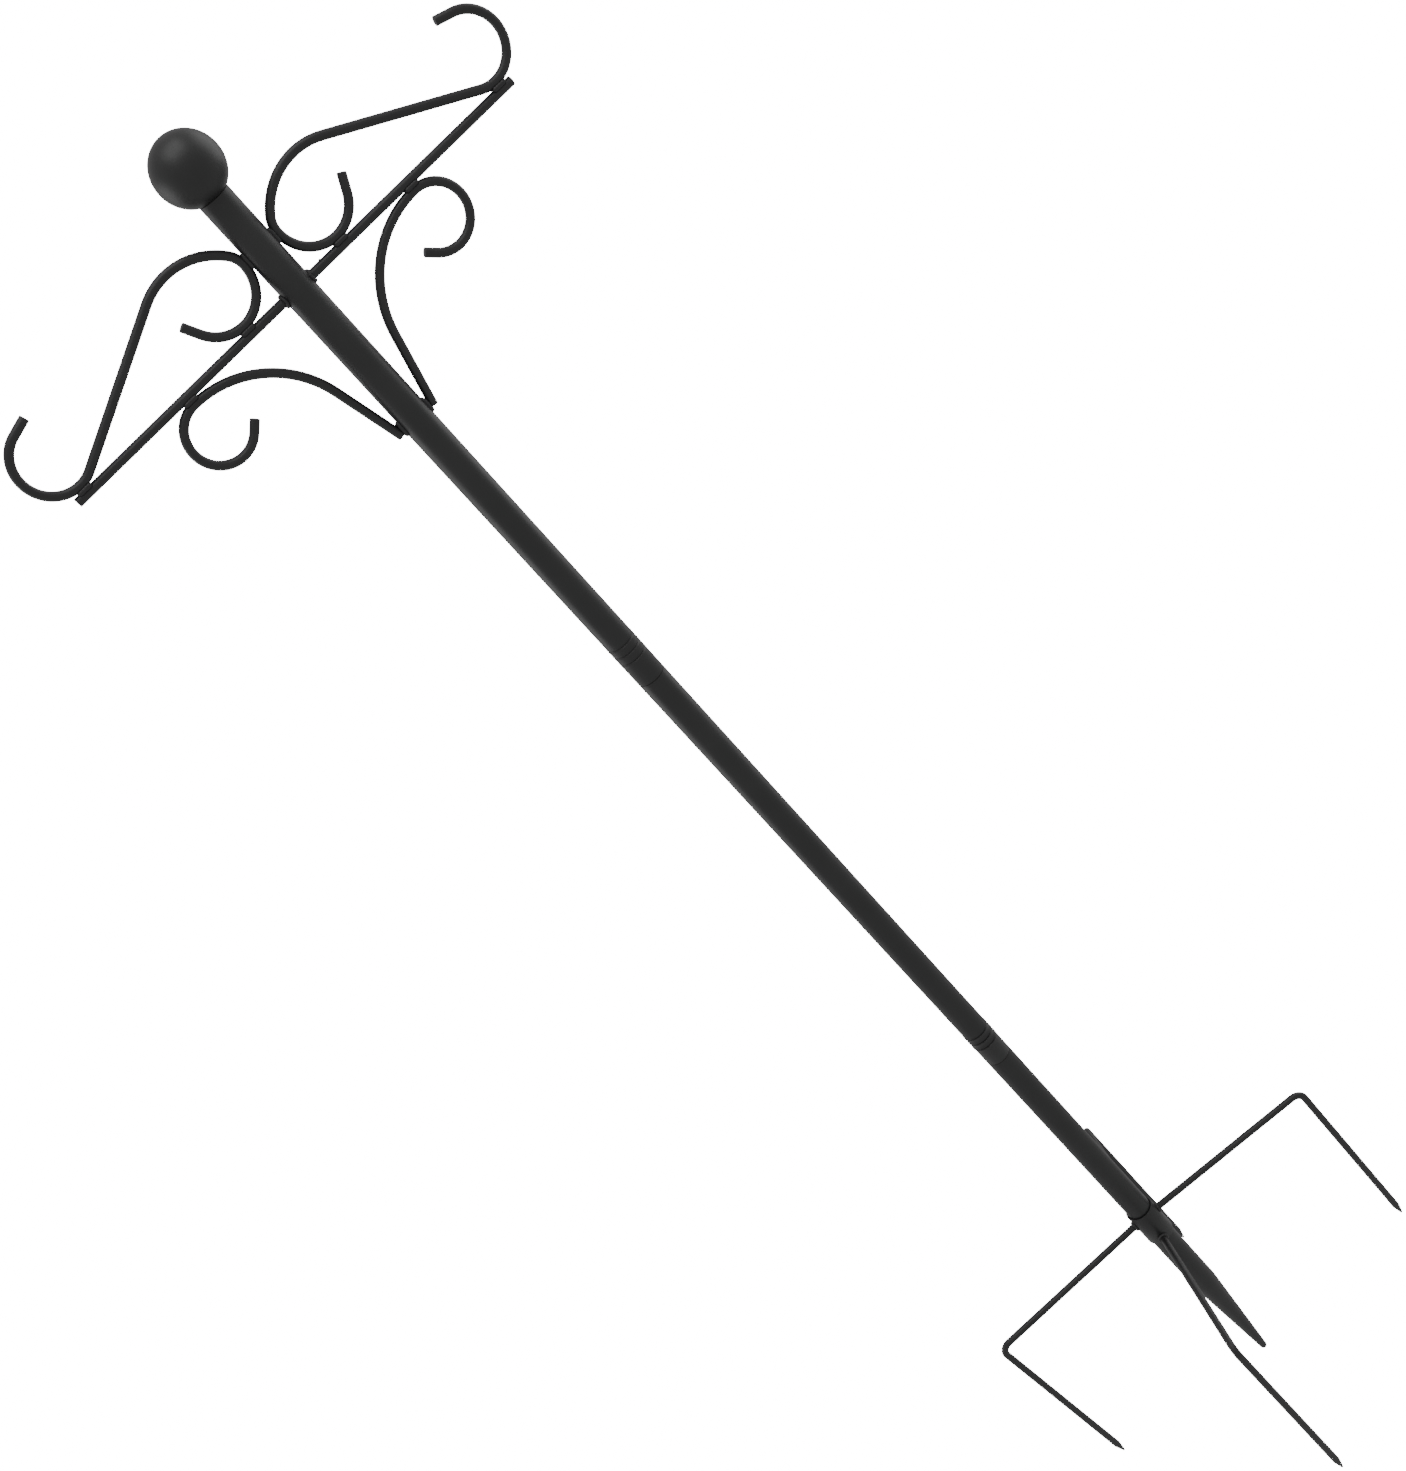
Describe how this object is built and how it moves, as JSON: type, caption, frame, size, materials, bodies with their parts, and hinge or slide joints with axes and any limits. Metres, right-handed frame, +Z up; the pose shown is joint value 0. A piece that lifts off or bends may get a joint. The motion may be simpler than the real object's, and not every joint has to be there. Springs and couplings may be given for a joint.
{
  "type": "garden hanging pole",
  "caption": "Sectional garden pole with a ball finial, mirrored scroll hooks on a crossbar for hanging plants or feeders, and a slip-on pronged base that pushes into the ground.",
  "frame": {"origin": "on the pole's axis at the lower rim of the prong collar, which is the ground line", "axes": "+Z up along the pole; +X towards the right hooks, in the plane of the scrolls; -Y is the front"},
  "size_m": [0.4062, 0.3221, 1.3842],
  "materials": {
    "powder_coat": "near-black satin powder coat on steel",
    "spigot_steel": "plain drawn steel tube, hidden in the joints",
    "plug_plastic": "black moulded plug, hidden in the ball's neck"
  },
  "bodies": {
    "lower_section": {"lower_tube": "powder_coat"},
    "prong_base": {"prong_collar": "powder_coat", "prong_right": "powder_coat", "prong_left": "powder_coat", "prong_front": "powder_coat", "prong_back": "powder_coat", "prong_welds": "powder_coat"},
    "middle_section": {"middle_tube": "powder_coat", "lower_spigot": "spigot_steel"},
    "upper_section": {"upper_tube": "powder_coat", "upper_spigot": "spigot_steel", "ball_finial": "powder_coat", "finial_plug": "plug_plastic", "crossbar_right": "powder_coat", "crossbar_left": "powder_coat", "hook_scroll_right": "powder_coat", "hook_scroll_left": "powder_coat", "brace_scroll_right": "powder_coat", "brace_scroll_left": "powder_coat", "crossbar_welds": "powder_coat", "loop_tube_welds": "powder_coat", "loop_bar_welds": "powder_coat", "hook_bar_welds": "powder_coat", "brace_bar_welds": "powder_coat", "brace_tube_welds": "powder_coat"}
  },
  "joints": [
    {"name": "prong_base_slide", "type": "slide", "parent": "lower_section", "child": "prong_base", "axis": [0, 0, 1], "range_m": [0, 0.22]},
    {"name": "middle_section_turn", "type": "hinge", "parent": "lower_section", "child": "middle_section", "pos_m": [0, 0, 0.268], "axis": [0, 0, 1], "continuous": true},
    {"name": "upper_section_lift", "type": "slide", "parent": "middle_section", "child": "upper_section", "axis": [0, 0, 1], "range_m": [0, 0.06]}
  ]
}
